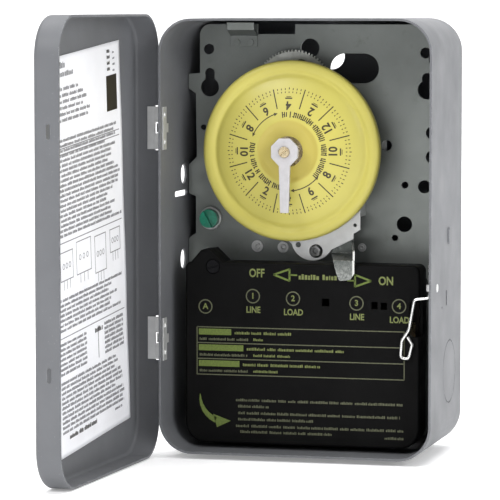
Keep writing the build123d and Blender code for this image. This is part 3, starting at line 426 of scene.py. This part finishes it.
class Print:
    """Flat ink shapes in millimetres, laid on a surface by a function from (u, v) to a point."""

    def __init__(self, place):
        self.place = place
        self.bm = bmesh.new()

    def polygon(self, points):
        corners = [self.bm.verts.new(self.place(u, v)) for u, v in points]
        self.bm.faces.new(corners)

    def bar(self, u, v, width, height, turn=0.0):
        """A rectangle centred at (u, v), turned by turn radians."""
        c, s = math.cos(turn), math.sin(turn)
        corners = []
        for x, y in ((-1, -1), (1, -1), (1, 1), (-1, 1)):
            x, y = x * width / 2, y * height / 2
            corners.append((u + x * c - y * s, v + x * s + y * c))
        self.polygon(corners)

    def stroke(self, points, width):
        """A line of even width through the points."""
        for (u0, v0), (u1, v1) in zip(points, points[1:]):
            turn = math.atan2(v1 - v0, u1 - u0)
            length = math.hypot(u1 - u0, v1 - v0) + width * 0.3
            self.bar((u0 + u1) / 2, (v0 + v1) / 2, length, width, turn)

    def ring(self, u, v, radius, width, start=0.0, end=360.0, steps=48):
        angles = [math.radians(start + (end - start) * i / steps) for i in range(steps + 1)]
        for a, b in zip(angles, angles[1:]):
            self.polygon(
                [
                    (u + r * math.cos(t), v + r * math.sin(t))
                    for r, t in (
                        (radius - width / 2, a), (radius - width / 2, b),
                        (radius + width / 2, b), (radius + width / 2, a),
                    )
                ]
            )

    def text(self, words, size, u, v, turn=0.0, narrow=1.0, weight=0.0):
        """Generic figures or letters from the built-in font, centred at (u, v)."""
        curve = bpy.data.curves.new("glyphs", "FONT")
        curve.body = words
        curve.size = size
        curve.align_x = "CENTER"
        curve.align_y = "CENTER"
        curve.offset = weight
        curve.resolution_u = 3
        glyphs = bpy.data.objects.new("glyphs", curve)
        bpy.context.scene.collection.objects.link(glyphs)
        evaluated = glyphs.evaluated_get(bpy.context.evaluated_depsgraph_get())
        flat = bpy.data.meshes.new_from_object(evaluated)
        c, s = math.cos(turn), math.sin(turn)
        corners = []
        for vertex in flat.vertices:
            x, y = vertex.co.x * narrow, vertex.co.y
            corners.append(self.bm.verts.new(self.place(u + x * c - y * s, v + x * s + y * c)))
        for face in flat.polygons:
            self.bm.faces.new([corners[i] for i in face.vertices])
        bpy.data.objects.remove(glyphs)
        bpy.data.curves.remove(curve)
        bpy.data.meshes.remove(flat)

    def greeked(self, u, v, length, height, turn=0.0):
        """A line of unreadable words: groups of short upright marks."""
        c, s = math.cos(turn), math.sin(turn)
        position = 0.0
        while position < length:
            word = min(length - position, rng.uniform(3, 8) * height * 0.8)
            letter = 0.0
            while letter < word:
                wide = height * rng.uniform(0.22, 0.50)
                tall = height * rng.uniform(0.62, 1.0)
                along = position + letter + wide / 2
                lift = (tall - height) / 2
                self.bar(u + along * c - lift * s, v + along * s + lift * c, wide, tall, turn)
                letter += wide + height * 0.16
            position += word + height * 0.75

    def finish(self, name, material, body, thickness=0.02):
        mesh = bpy.data.meshes.new(name)
        bmesh.ops.recalc_face_normals(self.bm, faces=self.bm.faces)
        self.bm.to_mesh(mesh)
        self.bm.free()
        piece = add_piece(name, mesh, material, body)
        film = piece.modifiers.new("film", "SOLIDIFY")
        film.thickness = thickness * MM
        film.offset = 0.0
        return piece


# ---- dial -------------------------------------------------------------------------------
dial_low, dial_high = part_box("dial")
DIAL_X = (dial_low.x + dial_high.x) / 2
DIAL_Z = (dial_low.z + dial_high.z) / 2
DIAL_RADIUS = (dial_high.x - dial_low.x) / 2 / MM
DIAL_RIM_Y = dial_low.y + 5.2 * MM      # plane of the rim; the middle stands 5.2 mm prouder
DIAL_FRONT = (
    (6.8, -4.6), (11.0, -4.6), (12.4, -4.72), (13.2, -5.08), (13.9, -5.2), (14.8, -5.06),
    (17.5, -4.50), (20.6, -3.82), (24.0, -3.10), (27.0, -2.42), (30.0, -1.50), (32.2, -0.72),
    (33.4, -0.18), (34.1, 0.36), (34.7, 0.60), (35.3, 0.42), (35.9, -0.02), (36.8, -0.36),
    (38.0, -0.46), (39.1, -0.30), (39.9, 0.10), (40.4, 0.75), (DIAL_RADIUS, 1.5),
)
DIAL_BACK = (
    (DIAL_RADIUS, 4.2), (38.9, 4.2), (38.9, 2.4), (36.4, 2.4), (33.0, 1.6), (27.0, -0.6),
    (14.0, -3.0), (6.8, -3.0),
)


def dial_depth(radius):
    """Depth of the dial's front at a radius, in millimetres from the rim plane."""
    for (r0, d0), (r1, d1) in zip(DIAL_FRONT, DIAL_FRONT[1:]):
        if radius <= r1:
            share = (radius - r0) / (r1 - r0)
            return d0 + (d1 - d0) * max(0.0, share)
    return DIAL_FRONT[-1][1]


def on_dial(u, v):
    depth = dial_depth(math.hypot(u, v)) - 0.02
    return Vector((DIAL_X + u * MM, DIAL_RIM_Y + depth * MM, DIAL_Z + v * MM))


def build_dial():
    steps = 160
    profile = DIAL_FRONT + DIAL_BACK
    bm = bmesh.new()
    rings = []
    for step in range(steps):
        angle = 2 * math.pi * step / steps
        rings.append([
            bm.verts.new((
                DIAL_X + r * math.cos(angle) * MM,
                DIAL_RIM_Y + depth * MM,
                DIAL_Z + r * math.sin(angle) * MM,
            ))
            for r, depth in profile
        ])
    for step in range(steps):
        here, there = rings[step], rings[(step + 1) % steps]
        for i in range(len(profile)):
            j = (i + 1) % len(profile)
            bm.faces.new((here[i], here[j], there[j], there[i]))
    bmesh.ops.recalc_face_normals(bm, faces=bm.faces)
    for face in bm.faces:
        face.smooth = True
    for edge in bm.edges:
        edge.smooth = edge.calc_face_angle(0.0) < math.radians(40)
    mesh = bpy.data.meshes.new("dial_face")
    bm.to_mesh(mesh)
    bm.free()
    piece = add_piece("dial_face", mesh, FINISH["yellow_enamel"], "dial")
    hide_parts("dial")


def polar(radius, degrees):
    angle = math.radians(degrees)
    return radius * math.cos(angle), radius * math.sin(angle)


TICK_START = 26.0               # radii on the dial, millimetres
NUMERAL_RADIUS = 20.6
MARK_RADIUS = 23.7
TEXT_RING_RADIUS = 16.5
ARROW_RADIUS = 17.6


def print_dial():
    dark = Print(on_dial)
    faint = Print(on_dial)
    # quarter-hour ticks: 96 round the cone, the hour ones longer
    for tick in range(96):
        degrees = tick * 3.75
        if tick % 8 == 4:
            continue
        length = 2.5 if tick % 4 == 0 else 2.2
        u, v = polar(TICK_START + length / 2, degrees)
        layer = dark if tick % 4 == 0 else faint
        layer.bar(u, v, length, 0.42, math.radians(degrees))
    # twelve lines between the numerals
    for spoke in range(12):
        degrees = 15 + 30 * spoke
        points = [polar(r, degrees) for r in (19.6, 21.4, 23.2, 25.0, 26.8, 28.4)]
        dark.stroke(points, 0.5)
    # even hours, twice round, tops towards the centre
    for place, figure in enumerate((10, 12, 2, 4, 6, 8, 10, 12, 2, 4, 6, 8)):
        degrees = 30 * place
        turn = math.radians(degrees + 90)
        u, v = polar(NUMERAL_RADIUS, degrees)
        dark.text(str(figure), 5.2, u, v, turn, narrow=0.92, weight=0.17)
        # small morning and evening marks outside each figure
        for offset in (-2.4, 0.0, 2.4):
            u, v = polar(MARK_RADIUS, degrees + offset)
            dark.bar(u, v, 0.6, 1.25, math.radians(degrees))
        u, v = polar(MARK_RADIUS + 0.7, degrees)
        faint.bar(u, v, 0.3, 2.2, math.radians(degrees))
    # ring of unreadable setting text, in three stretches
    for start, end in ((18.0, 100.0), (-42.0, 12.0), (168.0, 262.0)):
        degrees = start
        while degrees < end:
            tall = rng.uniform(2.0, 2.8)
            u, v = polar(TEXT_RING_RADIUS, degrees)
            if rng.random() > 0.16:
                dark.bar(u, v, tall, 0.52, math.radians(degrees))
                if rng.random() > 0.45:
                    u, v = polar(TEXT_RING_RADIUS + rng.choice((-0.8, 0.0, 0.8)), degrees + 1.2)
                    dark.bar(u, v, 0.4, 0.8, math.radians(degrees))
            degrees += 3.1
    # two curved arrows
    for start, end in ((108.0, 156.0), (-84.0, -40.0)):
        dark.ring(0, 0, ARROW_RADIUS, 0.45, start, end, steps=14)
        for tip, way in ((start, 1), (end, -1)):
            dark.polygon([
                polar(ARROW_RADIUS, tip - 2.4 * way),
                polar(ARROW_RADIUS + 0.8, tip + 3.2 * way),
                polar(ARROW_RADIUS - 0.8, tip + 3.2 * way),
            ])
    dark.finish("dial_figures", DIAL_INK, "dial")
    faint.finish("dial_minor_marks", DIAL_INK_FAINT, "dial")


# ---- insulating cover ---------------------------------------------------------------------
COVER_FACE_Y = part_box("insulator_cover")[0].y


def on_cover(u, v):
    """u and v are the row frame's X and Z in millimetres."""
    return Vector((u * MM, COVER_FACE_Y - 0.02 * MM, v * MM))


TERMINALS = ((-44.1, -32.0, "A", ""), (-22.2, -26.9, "1", "LINE"), (-3.8, -27.6, "2", "LOAD"),
             (25.1, -29.0, "3", "LINE"), (44.3, -29.9, "4", "LOAD"))
BOX_LEFT, BOX_RIGHT = -48.0, 46.7


def print_cover():
    plain = Print(on_cover)
    bright = Print(on_cover)
    dim = Print(on_cover)
    # which way the lever goes
    plain.text("OFF", 5.2, -20.4, -16.7, narrow=0.78, weight=0.13)
    plain.text("ON", 5.2, 38.4, -19.0, narrow=0.82, weight=0.13)
    for tip, base, v in ((-12.6, -5.4, -17.1), (31.6, 24.4, -19.0)):
        bright.stroke([(tip, v), (base, v + 2.6), (base, v - 2.6), (tip, v)], 0.85)
        tail = base + math.copysign(3.4, base - tip)
        bright.stroke([(base, v), (tail, v)], 0.7)
    plain.greeked(-1.2, -17.8, 17.5, 2.4)
    # terminal marks
    for u, v, mark, caption in TERMINALS:
        dim.ring(u, v, 3.0, 0.5)
        plain.text(mark, 3.6, u, v, weight=0.08)
        if caption:
            plain.text(caption, 3.9, u + 0.2, v - 6.2, narrow=0.84, weight=0.10)
    # three ruled boxes, each with a solid heading block and two lines of unreadable text
    rows = (-41.2, -48.3, -55.4, -62.5)
    for v in rows:
        dim.stroke([(BOX_LEFT, v), (BOX_RIGHT, v)], 0.45)
    for u in (BOX_LEFT, BOX_RIGHT):
        dim.stroke([(u, rows[0]), (u, rows[-1])], 0.45)
    for top, block, shift in zip(rows, (15.0, 20.6, 18.8), (0.0, 0.6, 0.3)):
        bright.bar(BOX_LEFT + 0.8 + block / 2, top - 2.1, block, 2.7)
        plain.greeked(BOX_LEFT + block + 2.4, top - 2.3, 26.0 + 30 * shift, 1.35)
        dim.greeked(BOX_LEFT + 1.2, top - 5.3, 22.0, 1.2)
        plain.greeked(BOX_LEFT + 26.0, top - 5.2, 22.0 * (0.2 + shift), 1.2)
    # curved arrow low on the left
    sweep = [(math.radians(a), w) for a, w in (
        (176, 0.3), (188, 1.0), (200, 1.5), (212, 1.9), (224, 2.2), (236, 2.4), (248, 2.6),
    )]
    centre, radius = (-35.0, -72.2), 11.6
    for (a, wa), (b, wb) in zip(sweep, sweep[1:]):
        bright.polygon([
            (centre[0] + (radius + side * w / 2) * math.cos(t),
             centre[1] + (radius + side * w / 2) * math.sin(t))
            for t, w, side in ((a, wa, -1), (b, wb, -1), (b, wb, 1), (a, wa, 1))
        ])
    bright.polygon([(-40.6, -80.3), (-32.4, -83.2), (-38.8, -86.2)])
    # closing lines of unreadable text
    for v, start, length in (
        (-73.6, -30.0, 76.0), (-76.4, -29.0, 14.0), (-79.4, -29.0, 74.0), (-82.2, -29.0, 34.0),
        (-85.2, -30.0, 76.0), (-87.8, -28.0, 42.0), (-88.6, 38.0, 8.4),
    ):
        dim.greeked(start, v, length, 1.25)
    plain.finish("cover_legend", COVER_INK, "case")
    bright.finish("cover_blocks", COVER_INK_BRIGHT, "case")
    dim.finish("cover_small_print", COVER_INK_DIM, "case")


# ---- label inside the door ------------------------------------------------------------------
LABEL_WIDTH, LABEL_HEIGHT = 88.0, 169.0
LABEL_TILT = math.radians(-4.6)
hinge = JOINTS["door_hinge"]
pin = Vector(hinge["pos_m"])
swing = Matrix.Rotation(math.radians(-hinge["range_deg"][0]), 4, Vector(hinge["axis"]))
OPENED = Matrix.Translation(pin) @ swing @ Matrix.Translation(-pin)
label_low, label_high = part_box("door_label")
label_centre = OPENED.inverted() @ ((label_low + label_high) / 2)


def on_label(lift):
    """Places (u, v) millimetres, from the sheet's middle as a reader sees it, on the sheet."""
    def place(u, v):
        across = -u * math.cos(LABEL_TILT) - v * math.sin(LABEL_TILT)
        up = -u * math.sin(LABEL_TILT) + v * math.cos(LABEL_TILT)
        offset = Vector((across * MM, lift * MM, up * MM))
        return OPENED @ (label_centre + offset)
    return place


def build_label():
    """The sheet: a fine grid that lies flat but for slightly lifted edges."""
    columns, rows = 44, 84
    half_w, half_h = LABEL_WIDTH / 2, LABEL_HEIGHT / 2
    bm = bmesh.new()
    grid = []
    for i in range(columns + 1):
        u = -half_w + LABEL_WIDTH * i / columns
        line = []
        for j in range(rows + 1):
            v = -half_h + LABEL_HEIGHT * j / rows
            edge = min(half_w - abs(u), half_h - abs(v))
            ripple = 0.6 + 0.4 * math.sin(v * 0.11 + u * 0.07)
            lift = 0.05 + 0.22 * max(0.0, 1 - edge / 3.0) ** 2 * ripple
            line.append(bm.verts.new(on_label(lift)(u, v)))
        grid.append(line)
    for i in range(columns):
        for j in range(rows):
            bm.faces.new((grid[i][j], grid[i + 1][j], grid[i + 1][j + 1], grid[i][j + 1]))
    for face in bm.faces:
        face.smooth = True
    mesh = bpy.data.meshes.new("label_sheet")
    bm.to_mesh(mesh)
    bm.free()
    piece = add_piece("label_sheet", mesh, FINISH["label_paper"], "door")
    sheet = piece.modifiers.new("thickness", "SOLIDIFY")
    sheet.thickness = 0.1 * MM
    sheet.offset = 0.0
    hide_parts("door_label")


def print_label():
    text = Print(on_label(0.16))
    black = Print(on_label(0.16))
    left, right = -LABEL_WIDTH / 2 + 3.0, LABEL_WIDTH / 2 - 3.5
    # heading lines, and a dark patch at the right
    for v, start, length, height in (
        (80.6, 0.0, 16.0, 2.8), (76.8, 1.0, 24.0, 2.4), (70.6, 1.0, 30.0, 1.8),
        (67.8, 1.0, 36.0, 1.6), (65.2, 1.0, 40.0, 1.6), (62.6, 1.0, 36.0, 1.6),
        (60.0, 1.0, 44.0, 1.6), (57.4, 1.0, 42.0, 1.6),
    ):
        text.greeked(left + start, v, length, height)
    for v in (81.0, 78.4, 75.8, 73.2):
        black.greeked(right - 13.0, v, 3.4, 1.6)
        text.greeked(right - 6.0, v - 1.0, 2.4, 1.0)
    black.bar(right - 8.0, 62.5, 13.2, 15.5)
    # body text, ruled off in blocks
    for v in (45.6, 43.2, 6.0, -34.0):
        text.stroke([(left, v), (right, v)], 0.4)
    for line in range(20):
        text.greeked(left, 49.0 - 2.1 * line, rng.uniform(0.75, 1.0) * (right - left), 1.45)
    # small wiring drawings: boxes with lines to them
    for u, v, width, height in (
        (-30.0, -4.0, 15.0, 12.0), (-9.0, -3.0, 18.0, 14.0), (12.0, -5.0, 14.0, 16.0),
        (31.0, -2.0, 13.0, 10.0),
    ):
        w, h = width / 2, height / 2
        outline = [(u - w, v - h), (u + w, v - h), (u + w, v + h), (u - w, v + h), (u - w, v - h)]
        text.stroke(outline, 0.4)
        for share in (-0.5, 0.0, 0.5):
            text.stroke([(u + share * w, v - h), (u + share * w, v - h - 4.0)], 0.35)
            text.ring(u + share * w, v, 1.1, 0.35, steps=16)
    for line in range(7):
        text.greeked(left, -18.0 - 2.1 * line, rng.uniform(0.75, 1.0) * (right - left), 1.4)
    text.stroke([(6.0, -36.0), (6.0, -50.0)], 0.6)
    black.greeked(2.0, -37.5, 9.0, 2.2)
    for line in range(7):
        text.greeked(14.0, -36.5 - 2.1 * line, 24.0, 1.5)
        text.greeked(left, -36.5 - 2.1 * line, 32.0, 1.4)
    for line in range(11):
        text.greeked(left, -53.0 - 2.1 * line, rng.uniform(0.8, 1.0) * (right - left), 1.45)
    black.greeked(left + 8.0, -77.0, 34.0, 2.0)
    text.greeked(right - 16.0, -76.6, 9.0, 1.4)
    text.finish("label_text", LABEL_INK, "door")
    black.finish("label_bold", LABEL_BLACK, "door")


# ---- build --------------------------------------------------------------------------------
build_dial()
print_dial()
print_cover()
build_label()
print_label()

for node, width in (
    ("case_shell", 0.22), ("door_pan", 0.22), ("mechanism_plate", 0.25), ("insulator_cover", 0.35),
    ("pointer", 0.45), ("trip_bracket", 0.25), ("top_catch", 0.18), ("ground_screw", 0.35),
    ("ground_washer", 0.15), ("hex_stud", 0.25), ("hinge_case_leaf_upper", 0.12),
    ("hinge_case_leaf_lower", 0.12), ("hinge_door_leaf_upper", 0.12),
    ("hinge_door_leaf_lower", 0.12), ("pointer_screw", 0.18), ("latch_clip", 0.2),
    ("terminal_block", 0.4), ("plate_rivets", 0.15), ("lever_pivot", 0.15),
):
    softened(node, width * MM)
softened("manual_lever", 0.25 * MM, LEVER_STEEL)


# ---- stage, light and camera ----------------------------------------------------------------
def build_stage():
    """A pale floor that curves up behind the object."""
    material = Surface("studio_floor", (0.95, 0.95, 0.955), 0.80)
    material.vary_color(0.6, 0.985, 1.01)
    material.bump(0.02, 0.00005)
    material.bsdf.inputs["Emission Color"].default_value = (1.0, 1.0, 1.0, 1.0)
    material.bsdf.inputs["Emission Strength"].default_value = 0.22
    floor_z = cad_box[0][2] - 0.4 * MM
    back, rise, bend = 1.4, 3.0, 0.9
    profile = [(-3.5, 0.0), (back, 0.0)]
    for step in range(1, 13):
        angle = math.radians(90 * step / 12)
        profile.append((back + bend * math.sin(angle), bend * (1 - math.cos(angle))))
    profile.append((back + bend, rise))
    bm = bmesh.new()
    rows = [
        [bm.verts.new((x, y, floor_z + z)) for y, z in profile] for x in (-4.0, 4.0)
    ]
    for i in range(len(profile) - 1):
        bm.faces.new((rows[0][i], rows[1][i], rows[1][i + 1], rows[0][i + 1]))
    for face in bm.faces:
        face.smooth = True
    mesh = bpy.data.meshes.new("studio_floor")
    bm.to_mesh(mesh)
    bm.free()
    floor = bpy.data.objects.new("studio_floor", mesh)
    bpy.context.scene.collection.objects.link(floor)
    mesh.materials.append(material.material)


def area_light(name, place, target, size, power):
    light = bpy.data.lights.new(name, "AREA")
    light.shape = "RECTANGLE"
    light.size, light.size_y = size
    light.energy = power
    lamp = bpy.data.objects.new(name, light)
    lamp.location = place
    lamp.rotation_euler = (Vector(target) - Vector(place)).to_track_quat("-Z", "Y").to_euler()
    bpy.context.scene.collection.objects.link(lamp)


def build_light():
    world = bpy.data.worlds.new("studio")
    bpy.context.scene.world = world
    world.use_nodes = True
    background = world.node_tree.nodes["Background"]
    background.inputs["Color"].default_value = (1.0, 1.0, 1.0, 1.0)
    background.inputs["Strength"].default_value = 0.30
    area_light("key", (-0.9, -1.6, 1.3), (0, 0, 0), (1.0, 0.8), 24)
    area_light("right_side", (1.3, -1.0, 0.6), (0, -0.05, 0), (0.9, 0.9), 13)
    area_light("overhead", (0.0, 0.2, 2.4), (0, 0.2, 0), (2.6, 2.2), 90)


CAMERA_PLACE = (0.33328, -1.43096, 0.1028)
CAMERA_YAW = math.radians(14.588)       # towards -X from straight ahead
CAMERA_PITCH = math.radians(4.404)      # downwards
CAMERA_LENS = 229.8


def build_camera():
    data = bpy.data.cameras.new("camera")
    data.sensor_width = 36.0
    data.lens = CAMERA_LENS
    data.clip_start = 0.01
    data.clip_end = 50.0
    camera = bpy.data.objects.new("camera", data)
    camera.location = CAMERA_PLACE
    ahead = Vector((
        -math.sin(CAMERA_YAW) * math.cos(CAMERA_PITCH),
        math.cos(CAMERA_YAW) * math.cos(CAMERA_PITCH),
        -math.sin(CAMERA_PITCH),
    ))
    camera.rotation_euler = ahead.to_track_quat("-Z", "Y").to_euler()
    bpy.context.scene.collection.objects.link(camera)
    bpy.context.scene.camera = camera


build_stage()
build_light()
build_camera()
bpy.context.scene.view_settings.view_transform = "Standard"
